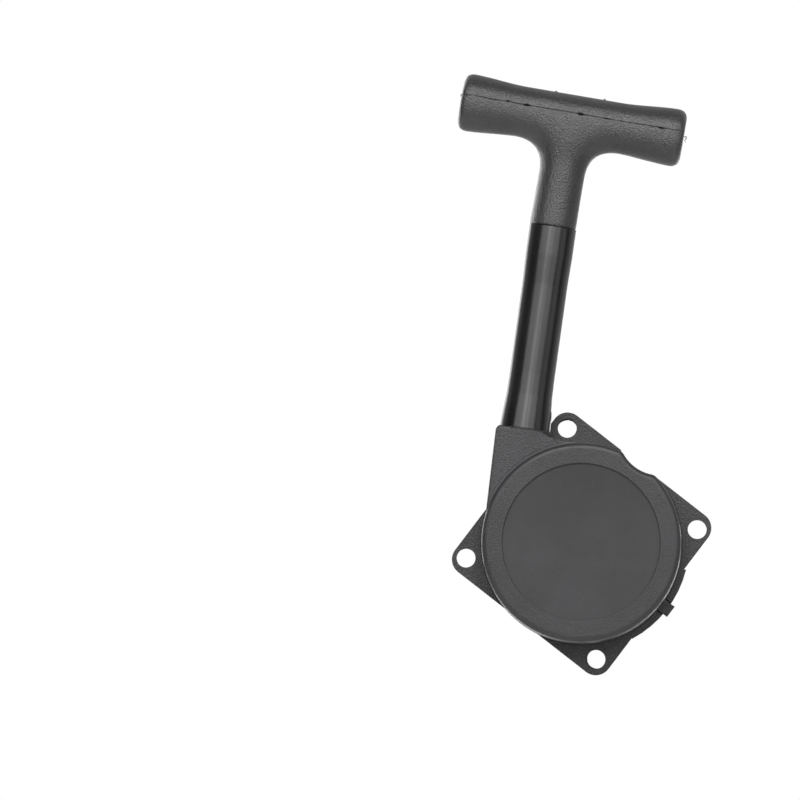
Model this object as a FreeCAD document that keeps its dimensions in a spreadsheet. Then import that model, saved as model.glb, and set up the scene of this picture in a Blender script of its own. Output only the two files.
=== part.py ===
import FreeCAD, Part
import math
import os
import re
import Sketcher

# Recoil starter for a small engine: a plastic case with a square mounting flange, a sprung rope reel
# behind a retainer plate, a long guide tube and a T-handle. Millimetres, +Z up, origin at the middle of
# the bolt square on the mounting face. That face looks along +Y, the case's closed front along -Y.
#
# Pieces of the case and the reel are drawn as sections in x and y, with z the depth from the mounting
# face towards the front. STAND turns them upright, so that the depth runs along -Y.

DRIVING_SIZES = {
    "bolt_circle_radius": 38.185, "bolt_hole_radius": 3.1, "bolt_turn": 15,
    "flange_side": 64.5, "flange_width": 62.8, "flange_corner": 5.25, "flange_depth": 5.0,
    "bulge_radius": 35.3,
    "drum_radius": 33.0, "drum_draft": 1.4, "drum_depth": 27.4, "drum_edge": 1.7,
    "chamber_radius": 29.3, "chamber_depth": 25.2,
    "disc_radius": 25.7, "disc_sink": 0.7,
    "scallop_radius": 13.3, "scallop_distance": 43.4, "scallop_turn": 62, "scallop_blend": 3.0,
    "box_left": 32.65, "box_lean": 0.7, "box_top": 34.1, "box_end": 9.0, "box_bottom": 0.0,
    "box_depth": 26.2, "box_corner": 1.6, "box_edge": 0.7,
    "sweep_radius": 16.0, "sweep_left": 10.4, "sweep_rise": 48.0,
    "channel_left": 29.4, "channel_top": 31.25, "channel_bottom": 2.0, "channel_depth": 25.0,
    "channel_end": 15.5, "channel_fall": 29.6,
    "relief_radius": 4.2, "relief_distance": 27.0, "relief_depth": 9.0,
    "mark_radius": 2.8, "mark_depth": 0.25,
    "slot_gap": 0.5, "slot_depth": 3.9, "window_depth": 6.4, "window_roof": 2.6,
    "rope_offset": 23.6, "rope_depth": 14.3, "rope_radius": 1.12,
    "tube_radius": 7.72, "tube_base_radius": 8.55, "tube_bore": 4.5, "tube_bottom": 34.4,
    "tube_top": 100.9, "tube_flare_top": 47.5,
    "spigot_radius": 6.3, "spigot_gap": 0.02, "boss_radius": 8.7, "boss_bottom": 28.0,
    "reel_radius": 27.4, "reel_back": 3.5, "rim_inner": 24.2, "web_back": 8.2, "dish_radius": 22.0,
    "groove_back": 10.4, "groove_front": 18.2, "groove_radius": 22.3, "reel_front": 20.2,
    "hub_radius": 8.4, "hub_bore": 7.0, "hub_end": 25.75, "hub_gap": 0.06,
    "hex_outer": 16.1, "hex_inner": 13.75, "hex_turn": 17.7, "hex_gap": 0.05,
    "hex_floor": 18.0, "hex_seat": 19.2,
    "bush_radius": 9.2, "bush_bore": 5.4, "bush_back": 17.2,
    "knot_slot_inner": 12.0, "knot_slot_outer": 20.4, "knot_slot_half": 34, "knot_slot_depth": 13.2,
    "knot_run_radius": 17.8, "knot_radius": 1.5, "knot_depth": 10.6, "knot_sweep": 54, "knot_turn": 243,
    "plate_outer": 28.1, "plate_inner": 17.0, "plate_back": 1.0, "plate_thick": 2.3, "plate_end": 0.3,
    "plate_corner": 4.0,
    "plate_end_turn": 207, "lug_width": 4.4, "lug_top": 33.75, "lug_left": 1.1,
    "lug_window_turn": -29.4, "lug_window_reach": 36.8, "lug_side_turn": 218.7, "lug_side_reach": 33.0,
    "spring_back": 20.6, "spring_width": 4.2, "spring_thick": 0.4, "spring_start": 9.8,
    "spring_pitch": 1.52, "spring_turns": 12, "spring_tail": 19.5, "spring_eye": 1.6,
    "anchor_gap": 0.1, "hook_thick": 0.45,
    "stem_radius": 7.5, "stem_foot_radius": 7.65, "blend_radius": 9.0, "stem_bore": 2.3,
    "handle_tilt": 1.9, "handle_lift": 0.3,
    "grip_height": 35.55, "grip_left": 36.9, "grip_middle": 0.05, "grip_waist": 8.3,
    "grip_end_radius": 9.45,
    "waist_half": 17.2, "grip_edge": 3.0, "seam_rise": 1.8, "seam_gap": 0.05,
    "cavity_radius": 5.2, "cavity_floor": 28.0,
    "washer_radius": 4.1, "washer_bore": 1.4, "washer_thick": 0.8, "washer_lift": 0.5,
    "stopper_radius": 3.2, "stopper_lift": 0.55, "rope_pitch": 2.5, "lead_bottom": 11.0,
    "tongue_rise": 2.6, "tongue_inner": 28.4, "notch_radius": 4.7, "large_mark": 3.8, "small_mark": 2.5,
    "socket_reach": 6.0, "cut_through": 60,
}
STAND = FreeCAD.Placement(FreeCAD.Vector(0, 0, 0), FreeCAD.Rotation(FreeCAD.Vector(1, 0, 0), 90))
BOLT_QUARTERS = range(4)
NARROW_EARS = (0, 2)
HEX_CORNERS = range(6)
UP = FreeCAD.Vector(0, 0, 1)

doc = FreeCAD.newDocument("recoil_starter")
sheet = doc.addObject("Spreadsheet::Sheet", "Sizes")
for row, (alias, value) in enumerate(DRIVING_SIZES.items(), start=1):
    sheet.set(f"A{row}", alias)
    sheet.set(f"B{row}", str(value))
    sheet.setAlias(f"B{row}", alias)
doc.recompute()


def size(alias):
    """Read one driving size back from the sheet."""
    return float(sheet.get(alias))


def with_sheet(formula):
    """Point every size named in a formula at its cell; only the sizes' names hold an underscore."""
    return re.sub(r"\b([a-z]+(?:_[a-z]+)+)\b", r"Sizes.\1", formula)


def bind(thing, path, formula):
    thing.setExpression(path, with_sheet(formula))


def around(radius, turn):
    """Formulas for a point at a radius and an angle, in degrees, about the reel's axis."""
    return f"({radius}) * cos(({turn}) * 1 deg)", f"({radius}) * sin(({turn}) * 1 deg)"


def new_body(label, placement=STAND):
    body = doc.addObject("PartDesign::Body", label)
    body.Label = label
    body.Placement = placement
    return body


def new_sketch(body, name, lift="0", plane="XY_Plane"):
    sketch = body.newObject("Sketcher::SketchObject", name)
    support = [feature for feature in body.Origin.OriginFeatures if feature.Role == plane][0]
    sketch.AttachmentSupport = [(support, "")]
    sketch.MapMode = "FlatFace"
    bind(sketch, "AttachmentOffset.Base.z", lift)
    return sketch


def fix_point(sketch, geometry, point, place):
    for kind, formula in zip(("DistanceX", "DistanceY"), place):
        number = sketch.addConstraint(Sketcher.Constraint(kind, -1, 1, geometry, point, 1.0))
        bind(sketch, f"Constraints[{number}]", formula)


def draw_circle(sketch, place, radius):
    circle = sketch.addGeometry(Part.Circle(FreeCAD.Vector(1, 1, 0), UP, 2), False)
    number = sketch.addConstraint(Sketcher.Constraint("Radius", circle, 2.0))
    bind(sketch, f"Constraints[{number}]", radius)
    fix_point(sketch, circle, 3, place)


def draw_polygon(sketch, corners):
    """A closed outline of straight lines through corners given as pairs of formulas."""
    count = len(corners)
    turns = [2 * math.pi * index / count for index in range(count + 1)]
    ring = [FreeCAD.Vector(9 * math.cos(turn), 9 * math.sin(turn), 0) for turn in turns]
    lines = [sketch.addGeometry(Part.LineSegment(ring[k], ring[k + 1]), False) for k in range(count)]
    for index, line in enumerate(lines):
        sketch.addConstraint(Sketcher.Constraint("Coincident", line, 2, lines[(index + 1) % count], 1))
        fix_point(sketch, line, 1, corners[index])


def add_feature(body, kind, name, sketch, length, turned=False):
    """Pad or pocket a sketch; a turned pocket cuts towards the front of the case."""
    feature = body.newObject(f"PartDesign::{kind}", name)
    feature.Profile = sketch
    bind(feature, "Length", length)
    feature.Reversed = turned
    sketch.Visibility = False
    return feature


def cut_forward(body, name, sketch, length):
    return add_feature(body, "Pocket", name, sketch, length, turned=True)


def round_edges(body, name, radius, wanted, kind="Fillet"):
    """Fillet or chamfer the edges of the body's tip that a test picks."""
    doc.recompute()
    base = body.Tip
    names = [f"Edge{number}" for number, edge in enumerate(base.Shape.Edges, start=1) if wanted(edge)]
    feature = body.newObject(f"PartDesign::{kind}", name)
    feature.Base = (base, names)
    bind(feature, "Radius" if kind == "Fillet" else "Size", radius)
    return feature


def is_upright(edge):
    """True for a straight edge along the depth."""
    ends = [vertex.Point for vertex in edge.Vertexes]
    return len(ends) == 2 and abs(ends[0].x - ends[1].x) < 1e-4 and abs(ends[0].y - ends[1].y) < 1e-4


def corner_of(edge):
    return edge.Vertexes[0].Point


def lies_at(edge, depth):
    box = edge.BoundBox
    return abs(box.ZMin - depth) < 1e-3 and abs(box.ZMax - depth) < 1e-3


def strip(turn, half_width, near, far):
    """Corners of a radial strip between two radii, as pairs of formulas."""
    along = around("1", turn)
    corners = []
    for reach, side in ((near, "-"), (far, "-"), (far, ""), (near, "")):
        shift = f"{side}({half_width})"
        corners.append((f"({reach}) * {along[0]} - ({shift}) * {along[1]}",
                        f"({reach}) * {along[1]} + ({shift}) * {along[0]}"))
    return corners


def hexagon(radius):
    return [around(radius, f"hex_turn + {60 * corner}") for corner in HEX_CORNERS]


def mark_places(body, name, places, radius, depth_start="0"):
    """Shallow round ejector marks in a face."""
    sketch = new_sketch(body, f"{name}_sketch", depth_start)
    for place in places:
        draw_circle(sketch, place, radius)
    cut_forward(body, name, sketch, "mark_depth")


def cut_scallop(body, name, length):
    scallop = new_sketch(body, f"{name}_sketch")
    draw_circle(scallop, around("scallop_distance", "scallop_turn"), "scallop_radius")
    cut_forward(body, name, scallop, length)


def pad_drum(body):
    drum = new_sketch(body, "drum_sketch")
    draw_circle(drum, ("0.001", "0.001"), "drum_radius")
    wall = add_feature(body, "Pad", "drum", drum, "drum_depth")
    bind(wall, "TaperAngle", "-drum_draft")
    cut_scallop(body, "drum_scallop", "drum_depth + 1")
    half_depth = size("drum_depth") / 2
    round_edges(body, "scallop_ends", "scallop_blend",
                lambda edge: edge.BoundBox.ZLength > half_depth and corner_of(edge).x > 5)
    round_edges(body, "drum_rim", "drum_edge", lambda edge: lies_at(edge, size("drum_depth")))


def pad_box(body):
    """The rope channel's box sweeps down to the drum in one concave curve."""
    box = new_sketch(body, "box_sketch")
    draw_polygon(box, [
        ("-box_left + box_lean", "box_bottom"), ("-box_left", "box_top"), ("-box_end - 9", "box_top"),
        ("-box_end", "box_top - 1"), ("-box_end + 5", "box_top - 3"), ("-box_end + 5", "box_bottom"),
    ])
    add_feature(body, "Pad", "box", box, "box_depth")
    sweep = new_sketch(body, "sweep_sketch")
    draw_circle(sweep, ("-sweep_left", "sweep_rise"), "sweep_radius")
    cut_forward(body, "box_sweep", sweep, "box_depth + 0.5")

    def front_edge(edge):
        box = edge.BoundBox
        on_side = box.XMax < -size("box_left") + size("box_lean") + 0.1
        on_top = box.YMin > size("sweep_rise") - size("sweep_radius") - 0.1
        return lies_at(edge, size("box_depth")) and (on_side or on_top)

    round_edges(body, "box_corners", "box_corner", lambda edge: is_upright(edge) and corner_of(edge).x < -30
                and corner_of(edge).y > 30)
    round_edges(body, "box_edges", "box_edge", front_edge)


def flange_point(quarter):
    """A corner of the flange; the two ears at its left and right are a little narrower."""
    side_sign, width_sign = ((1, -1), (1, 1), (-1, 1), (-1, -1))[quarter]
    side = around(f"{side_sign} * flange_side / 2", "bolt_turn + 45")
    reach = "flange_width" if quarter in NARROW_EARS else "flange_side"
    width = around(f"{width_sign} * {reach} / 2", "bolt_turn + 135")
    return f"{side[0]} + {width[0]}", f"{side[1]} + {width[1]}"


def pad_flange(body):
    flange = new_sketch(body, "flange_sketch")
    draw_polygon(flange, [flange_point(quarter) for quarter in BOLT_QUARTERS])
    add_feature(body, "Pad", "flange", flange, "flange_depth")

    def flange_corner(edge):
        corner = corner_of(edge)
        reach = math.hypot(size("flange_side"), size("flange_width")) / 2
        return is_upright(edge) and math.hypot(corner.x, corner.y) > reach - 0.1

    round_edges(body, "flange_corners", "flange_corner", flange_corner)
    bulge = new_sketch(body, "bulge_sketch")
    draw_polygon(bulge, [("0", "0")] + [around("bulge_radius", f"{-turn}") for turn in range(6, 55, 6)])
    add_feature(body, "Pad", "bulge", bulge, "flange_depth")
    cut_scallop(body, "flange_scallop", "flange_depth")


def pad_tube_boss(body):
    boss = new_sketch(body, "boss_sketch", "-(tube_bottom)", "XZ_Plane")
    draw_circle(boss, ("-rope_offset", "rope_depth"), "boss_radius")
    add_feature(body, "Pad", "tube_boss", boss, "tube_bottom - boss_bottom")


def cut_case_inside(body):
    chamber = new_sketch(body, "chamber_sketch")
    draw_circle(chamber, ("0.001", "0.001"), "chamber_radius")
    cut_forward(body, "chamber", chamber, "chamber_depth")
    channel = new_sketch(body, "channel_sketch")
    draw_polygon(channel, [
        ("-channel_left", "-channel_bottom"), ("-channel_left", "channel_top"),
        ("-channel_end", "channel_top"), ("-channel_end + 7", "channel_fall"),
        ("-2", "20"), ("-2", "-channel_bottom"),
    ])
    cut_forward(body, "channel", channel, "channel_depth")
    socket = new_sketch(body, "socket_sketch", "-(tube_bottom + 1)", "XZ_Plane")
    draw_circle(socket, ("-rope_offset", "rope_depth"), "spigot_radius + spigot_gap")
    cut_forward(body, "tube_socket", socket, "socket_reach")
    disc = new_sketch(body, "disc_sketch", "drum_depth")
    draw_circle(disc, ("0.001", "0.001"), "disc_radius")
    add_feature(body, "Pocket", "front_disc", disc, "disc_sink")
    bearing = new_sketch(body, "bearing_sketch", "chamber_depth")
    draw_circle(bearing, ("0.001", "0.001"), "hub_radius + hub_gap")
    cut_forward(body, "hub_bearing", bearing, "hub_end - chamber_depth + 0.15")


def cut_case_details(body):
    holes = new_sketch(body, "bolt_sketch")
    for quarter in BOLT_QUARTERS:
        draw_circle(holes, around("bolt_circle_radius", f"bolt_turn + {90 * quarter}"), "bolt_hole_radius")
    cut_forward(body, "bolt_holes", holes, "drum_depth")
    reliefs = new_sketch(body, "relief_sketch")
    for turn in ("bolt_turn - 1", "bolt_turn + 179", "bolt_turn + 270"):
        draw_circle(reliefs, around("relief_distance", turn), "relief_radius")
    cut_forward(body, "reliefs", reliefs, "relief_depth")
    slots = new_sketch(body, "lug_slot_sketch")
    draw_polygon(slots, [
        ("lug_left - 2", "20"), ("lug_left + lug_width + 0.15", "20"),
        ("lug_left + lug_width + 0.15", "lug_top + 0.15"), ("lug_left - 2", "lug_top + 0.15"),
    ])
    draw_polygon(slots,
                 strip("lug_side_turn", "lug_width / 2 + slot_gap", "20", "lug_side_reach + slot_gap"))
    draw_polygon(slots, strip("lug_window_turn", "lug_width / 2 + slot_gap", "20", "drum_radius - 0.6"))
    cut_forward(body, "lug_slots", slots, "slot_depth")
    deep = new_sketch(body, "window_slot_sketch")
    draw_polygon(deep, strip("lug_window_turn", "lug_width / 2 + 0.2", "20", "drum_radius - 0.6"))
    cut_forward(body, "window_slot", deep, "window_depth")
    window = new_sketch(body, "window_sketch", "window_roof")
    draw_polygon(window, strip("lug_window_turn", "lug_width / 2 + 0.2", "25", "40"))
    cut_forward(body, "window", window, "window_depth - window_roof")
    mark_places(body, "case_marks",
                [("-4.5", "34.6"), ("-34.9", "-2.9"), ("14.25", "-31.5"), ("34.6", "3.3")], "mark_radius")


def make_housing():
    body = new_body("housing")
    pad_drum(body)
    pad_box(body)
    pad_flange(body)
    pad_tube_boss(body)
    cut_case_inside(body)
    cut_case_details(body)
    return body


def make_guide_tube():
    """The tube's own axis is +Z; its foot flares and a thin spigot seats it in the case."""
    axis = FreeCAD.Vector(-size("rope_offset"), -size("rope_depth"), 0)
    body = new_body("guide_tube", FreeCAD.Placement(axis, FreeCAD.Rotation()))
    wall = new_sketch(body, "tube_sketch", plane="XZ_Plane")
    draw_polygon(wall, [
        ("tube_bore", "channel_top - 0.6"), ("spigot_radius", "channel_top - 0.6"),
        ("spigot_radius", "tube_bottom"), ("tube_base_radius", "tube_bottom"),
        ("tube_base_radius - 0.25", "tube_bottom + 4.5"), ("tube_radius + 0.1", "tube_flare_top - 2"),
        ("tube_radius", "tube_flare_top + 5"), ("tube_radius", "tube_top - 19"),
        ("tube_radius + 0.25", "tube_top - 9"), ("tube_radius + 0.25", "tube_top"),
        ("tube_bore", "tube_top"),
    ])
    revolve(body, "tube_wall", wall)
    return body


def revolve(body, name, sketch, axis="V_Axis", kind="Revolution"):
    feature = body.newObject(f"PartDesign::{kind}", name)
    feature.Profile = sketch
    feature.ReferenceAxis = (sketch, [axis])
    feature.Angle = 360
    sketch.Visibility = False
    return feature


def make_reel():
    body = new_body("reel")
    section = new_sketch(body, "reel_sketch", plane="XZ_Plane")
    draw_polygon(section, [
        ("rim_inner", "reel_back"), ("reel_radius", "reel_back"), ("reel_radius", "groove_back"),
        ("groove_radius", "groove_back"), ("groove_radius", "groove_front"), ("reel_radius", "groove_front"),
        ("reel_radius", "reel_front"), ("hub_radius", "reel_front"), ("hub_radius", "hub_end"),
        ("hub_bore", "hub_end"), ("hub_bore", "web_back"), ("dish_radius", "web_back"),
        ("rim_inner - 0.7", "web_back - 0.7"), ("rim_inner", "web_back - 2.2"),
    ])
    revolve(body, "reel_shape", section)
    pocket = new_sketch(body, "hex_sketch")
    draw_polygon(pocket, hexagon("hex_outer + hex_gap"))
    cut_forward(body, "hex_seat_pocket", pocket, "hex_seat")
    slot = new_sketch(body, "knot_slot_sketch")
    inner = [around("knot_slot_inner", f"270 + knot_slot_half * {step}") for step in (-1, 0, 1)]
    outer = [around("knot_slot_outer", f"270 + knot_slot_half * {step}") for step in (1, 0.5, 0, -0.5, -1)]
    draw_polygon(slot, inner + outer)
    cut_forward(body, "knot_slot", slot, "knot_slot_depth")
    notch = new_sketch(body, "hook_slot_sketch", "reel_front + 0.1")
    draw_polygon(notch, [("5", "1.6"), ("9.5", "1.6"), ("9.5", "4.4"), ("5", "4.4")])
    cut_forward(body, "hook_slot", notch, "6")
    return body


def make_drive_hub():
    body = new_body("drive_hub")
    outside = new_sketch(body, "hub_sketch", "reel_back")
    draw_polygon(outside, hexagon("hex_outer"))
    add_feature(body, "Pad", "hub", outside, "hex_seat - reel_back - hex_gap")
    socket = new_sketch(body, "hub_socket_sketch")
    draw_polygon(socket, hexagon("hex_inner"))
    cut_forward(body, "hub_socket", socket, "hex_floor")
    hole = new_sketch(body, "hub_hole_sketch")
    draw_circle(hole, ("0.001", "0.001"), "bush_radius + hex_gap")
    cut_forward(body, "hub_hole", hole, "hex_seat + 1")
    return body


def make_ring(label, placement, outer, inner, start, length):
    """A plain ring, such as a bush or a washer, from a padded sketch of two circles."""
    body = new_body(label, placement)
    sketch = new_sketch(body, f"{label}_sketch", start)
    draw_circle(sketch, ("0.001", "0.001"), outer)
    draw_circle(sketch, ("0.001", "0.001"), inner)
    add_feature(body, "Pad", f"{label}_ring", sketch, length)
    return body


def make_retainer():
    body = new_body("retainer_plate")
    ring = new_sketch(body, "plate_sketch", "plate_back")
    draw_circle(ring, ("0.001", "0.001"), "plate_outer")
    draw_circle(ring, ("0.001", "0.001"), "plate_inner")
    add_feature(body, "Pad", "plate", ring, "plate_thick")
    opening = new_sketch(body, "opening_sketch")
    draw_polygon(opening, [("plate_end", "36"), ("plate_end", "0.5"), around("45", "plate_end_turn"),
                           ("-48", "36")])
    cut_forward(body, "opening", opening, "6")
    lugs = new_sketch(body, "lug_sketch", "plate_back")
    draw_polygon(lugs, [
        ("lug_left", "24"), ("lug_left + lug_width", "24"),
        ("lug_left + lug_width", "lug_top"), ("lug_left", "lug_top"),
    ])
    draw_polygon(lugs, strip("lug_side_turn", "lug_width / 2", "24", "lug_side_reach"))
    draw_polygon(lugs, strip("lug_window_turn", "lug_width / 2", "24", "drum_radius - 1"))
    add_feature(body, "Pad", "lugs", lugs, "plate_thick")
    tongue = new_sketch(body, "tongue_sketch", "plate_back + plate_thick - 0.2")
    draw_polygon(tongue, strip("lug_window_turn", "lug_width / 2 - 0.1", "tongue_inner", "lug_window_reach"))
    add_feature(body, "Pad", "tongue", tongue, "tongue_rise")
    notches = new_sketch(body, "notch_sketch")
    draw_circle(notches, ("8.3", "-25.6"), "notch_radius")
    draw_circle(notches, ("27.6", "6.75"), "notch_radius")
    cut_forward(body, "notches", notches, "6")
    mark_places(body, "large_marks", [("7.2", "21.9"), ("-14.8", "-15.6")], "large_mark", "plate_back")
    mark_places(body, "small_marks", [("23.4", "-2.1"), ("14.25", "-17.5")], "small_mark", "plate_back")

    def plate_end(edge):
        corner = corner_of(edge)
        return is_upright(edge) and abs(math.hypot(corner.x, corner.y) - size("plate_inner")) < 0.05

    round_edges(body, "plate_ends", "plate_corner", plate_end)
    return body


def make_spring():
    """A flat strip wound in half circles whose centres change side, so each half is a little larger."""
    pitch = size("spring_pitch")
    half = size("spring_thick") / 2
    back = size("spring_back")
    outer_edge = []
    inner_edge = []
    radius = size("spring_start")
    side = 1
    centre = 0.0
    for _ in range(int(2 * size("spring_turns"))):
        for edges, grown in ((outer_edge, radius + half), (inner_edge, radius - half)):
            start = FreeCAD.Vector(0, centre + side * grown, back)
            middle = FreeCAD.Vector(-side * grown, centre, back)
            end = FreeCAD.Vector(0, centre - side * grown, back)
            edges.append(Part.Arc(start, middle, end).toShape())
        side = -side
        centre -= side * pitch / 2
        radius += pitch / 2
    tail = -size("spring_tail")
    last_outer = outer_edge[-1].Vertexes
    top_outer = max((vertex.Point for vertex in last_outer), key=lambda point: point.y)
    top_inner = FreeCAD.Vector(top_outer.x, top_outer.y - 2 * half, back)
    eye = size("spring_eye")
    bends = []
    for grown in (eye + half, eye - half):
        height = top_outer.y - half - eye
        start = FreeCAD.Vector(tail, height + grown, back)
        middle = FreeCAD.Vector(tail - grown, height, back)
        end = FreeCAD.Vector(tail, height - grown, back)
        bends.append((start, Part.Arc(start, middle, end).toShape(), end))
    outer_wire = outer_edge + [Part.makeLine(top_outer, bends[0][0]), bends[0][1]]
    inner_wire = inner_edge + [Part.makeLine(top_inner, bends[1][0]), bends[1][1]]
    start_cap = Part.makeLine(FreeCAD.Vector(0, size("spring_start") + half, back),
                              FreeCAD.Vector(0, size("spring_start") - half, back))
    end_cap = Part.makeLine(bends[0][2], bends[1][2])
    outline = Part.Wire(Part.__sortEdges__(outer_wire + inner_wire + [start_cap, end_cap]))
    strip_shape = Part.Face(outline).extrude(FreeCAD.Vector(0, 0, size("spring_width")))
    return add_shape("recoil_spring", strip_shape, STAND)


def make_spring_anchor():
    """The pin that the spring's outer eye hooks round."""
    pin = doc.addObject("Part::Cylinder", "spring_anchor")
    pin.Label = "spring_anchor"
    bind(pin, "Radius", "spring_eye - spring_thick / 2 - anchor_gap")
    bind(pin, "Height", "channel_depth - spring_back + 1")
    top = size("spring_start") + size("spring_turns") * size("spring_pitch")
    place = FreeCAD.Vector(-size("spring_tail"), top - size("spring_eye"), size("spring_back") - 1)
    pin.Placement = STAND.multiply(FreeCAD.Placement(place, FreeCAD.Rotation()))
    return pin


def make_spring_hook():
    """The spring's inner end: it passes through the hub's wall and curls inside the bore."""
    back = size("spring_back") + 0.05
    route = [(8.9, 3.05), (5.0, 1.9), (1.6, 0.7), (-2.0, -0.3), (-4.4, 0.6), (-5.2, 2.4), (-4.0, 4.2),
             (-2.0, 4.1), (-1.0, 2.4)]
    points = [FreeCAD.Vector(x, y, back) for x, y in route]
    curve = Part.BSplineCurve()
    curve.interpolate(points)
    path = Part.Wire(curve.toShape())
    across = curve.tangent(curve.FirstParameter)[0].cross(UP) * (size("hook_thick") / 2)
    low = [points[0] + across, points[0] - across]
    high = [point + UP * (size("spring_width") - 0.3) for point in reversed(low)]
    section = Part.makePolygon(low + high + [low[0]])
    return add_shape("spring_hook", path.makePipeShell([section], True, False), STAND)


def add_shape(label, shape, placement):
    feature = doc.addObject("Part::Feature", label)
    feature.Label = label
    feature.Shape = shape
    feature.Placement = placement
    return feature


def make_wound_rope():
    """Three turns lie side by side in the reel's groove."""
    turns = []
    for number in range(3):
        torus = doc.addObject("Part::Torus", f"rope_turn_{number + 1}")
        bind(torus, "Radius1", "rope_offset")
        bind(torus, "Radius2", "rope_radius")
        bind(torus, "Placement.Base.z", f"rope_depth + rope_pitch * ({number} - 1)")
        turns.append(torus)
    wound = doc.addObject("Part::MultiFuse", "rope_wound")
    wound.Shapes = turns
    wound.Label = "rope_wound"
    wound.Placement = STAND
    return wound


def make_reel_knot():
    knot = doc.addObject("Part::Torus", "reel_knot")
    knot.Label = "reel_knot"
    bind(knot, "Radius1", "knot_run_radius")
    bind(knot, "Radius2", "knot_radius")
    knot.Angle3 = size("knot_sweep")
    turn = FreeCAD.Rotation(UP, size("knot_turn"))
    knot.Placement = STAND.multiply(FreeCAD.Placement(UP * size("knot_depth"), turn))
    return knot


def make_rope_lead():
    rope = doc.addObject("Part::Cylinder", "rope_lead")
    rope.Label = "rope_lead"
    bind(rope, "Radius", "rope_radius")
    bind(rope, "Height", "tube_top + cavity_floor + washer_lift + washer_thick - lead_bottom")
    bind(rope, "Placement.Base.x", "-rope_offset")
    bind(rope, "Placement.Base.y", "-rope_depth")
    bind(rope, "Placement.Base.z", "lead_bottom")
    return rope


def handle_place():
    """The handle's own origin is the middle of its foot; it sits a little cocked on the tube."""
    foot = FreeCAD.Vector(-size("rope_offset"), -size("rope_depth"), size("tube_top") + size("handle_lift"))
    return FreeCAD.Placement(foot, FreeCAD.Rotation(FreeCAD.Vector(0, 1, 0), size("handle_tilt")))


def washer_place():
    level = size("tube_top") + size("cavity_floor") + size("washer_lift")
    middle = FreeCAD.Vector(-size("rope_offset"), -size("rope_depth"), level)
    return FreeCAD.Placement(middle, FreeCAD.Rotation())


def grip_outline(sketch):
    """Half of the grip's section, in x along the grip and z up: a waist that swells to rounded ends."""
    left = "grip_middle - grip_left"
    right = "grip_middle + grip_left"
    axis = "grip_height"
    draw_polygon(sketch, [
        (left, axis), (left, "grip_height + grip_end_radius - grip_edge"),
        (f"{left} + 0.25 * grip_edge", "grip_height + grip_end_radius - 0.45 * grip_edge"),
        (f"{left} + 0.95 * grip_edge", "grip_height + grip_end_radius - 0.05"),
        (f"{left} + 2 * grip_edge", "grip_height + grip_end_radius"),
        ("grip_middle - waist_half - 6", "grip_height + grip_waist + 0.45"),
        ("grip_middle - waist_half", "grip_height + grip_waist"),
        ("grip_middle + waist_half", "grip_height + grip_waist"),
        ("grip_middle + waist_half + 6", "grip_height + grip_waist + 0.45"),
        (f"{right} - 2 * grip_edge", "grip_height + grip_end_radius"),
        (f"{right} - 0.95 * grip_edge", "grip_height + grip_end_radius - 0.05"),
        (f"{right} - 0.25 * grip_edge", "grip_height + grip_end_radius - 0.45 * grip_edge"),
        (right, "grip_height + grip_end_radius - grip_edge"), (right, axis),
    ])


def add_grip(body, kind="Revolution"):
    outline = new_sketch(body, "grip_sketch", plane="XZ_Plane")
    grip_outline(outline)
    doc.recompute()
    lines = [number for number, line in enumerate(outline.Geometry)
             if abs(line.StartPoint.y - line.EndPoint.y) < 1e-6
             and abs(line.StartPoint.y - size("grip_height")) < 1e-6]
    return revolve(body, "grip", outline, f"Edge{lines[0] + 1}", kind)


def keep_side_of_seam(body, above):
    """Cut the grip at the seam and keep one side of it."""
    level = "grip_height + seam_rise + seam_gap" if above else "grip_height + seam_rise"
    sketch = new_sketch(body, "seam_sketch", level)
    draw_polygon(sketch, [("-cut_through", "-cut_through"), ("cut_through", "-cut_through"),
                          ("cut_through", "cut_through"), ("-cut_through", "cut_through")])
    if above:
        add_feature(body, "Pocket", "seam", sketch, "cut_through")
    else:
        cut_forward(body, "seam", sketch, "cut_through")


def make_handle_body():
    body = new_body("handle_body", handle_place())
    add_grip(body)
    stem = new_sketch(body, "stem_sketch", plane="XZ_Plane")
    draw_polygon(stem, [
        ("0.001", "0"), ("stem_foot_radius", "0"), ("stem_radius", "9"),
        ("stem_radius", "grip_height - grip_waist - blend_radius"),
        ("stem_radius + 0.13 * blend_radius", "grip_height - grip_waist - 0.5 * blend_radius"),
        ("stem_radius + 0.34 * blend_radius", "grip_height - grip_waist - 0.24 * blend_radius"),
        ("stem_radius + 0.5 * blend_radius", "grip_height - grip_waist - 0.12 * blend_radius"),
        ("stem_radius + 0.5 * blend_radius", "grip_height - grip_waist + 1.4"),
        ("stem_radius - 0.4", "grip_height"), ("0.001", "grip_height"),
    ])
    revolve(body, "stem", stem)
    sides = new_sketch(body, "blend_side_sketch", "grip_height + 0.5")
    draw_polygon(sides, [("-25", "grip_waist"), ("25", "grip_waist"), ("25", "20"), ("-25", "20")])
    draw_polygon(sides, [("-25", "-grip_waist"), ("25", "-grip_waist"), ("25", "-20"), ("-25", "-20")])
    add_feature(body, "Pocket", "blend_sides", sides, "20")
    bore = new_sketch(body, "stem_bore_sketch", "-1")
    draw_circle(bore, ("0.001", "0.001"), "stem_bore")
    cut_forward(body, "stem_hole", bore, "cut_through")
    cavity = new_sketch(body, "cavity_sketch", "cavity_floor")
    draw_circle(cavity, ("0.001", "0.001"), "cavity_radius")
    cut_forward(body, "cavity", cavity, "cut_through")
    keep_side_of_seam(body, above=False)
    return body


def make_handle_cap():
    body = new_body("handle_cap", handle_place())
    add_grip(body)
    keep_side_of_seam(body, above=True)
    return body


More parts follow.
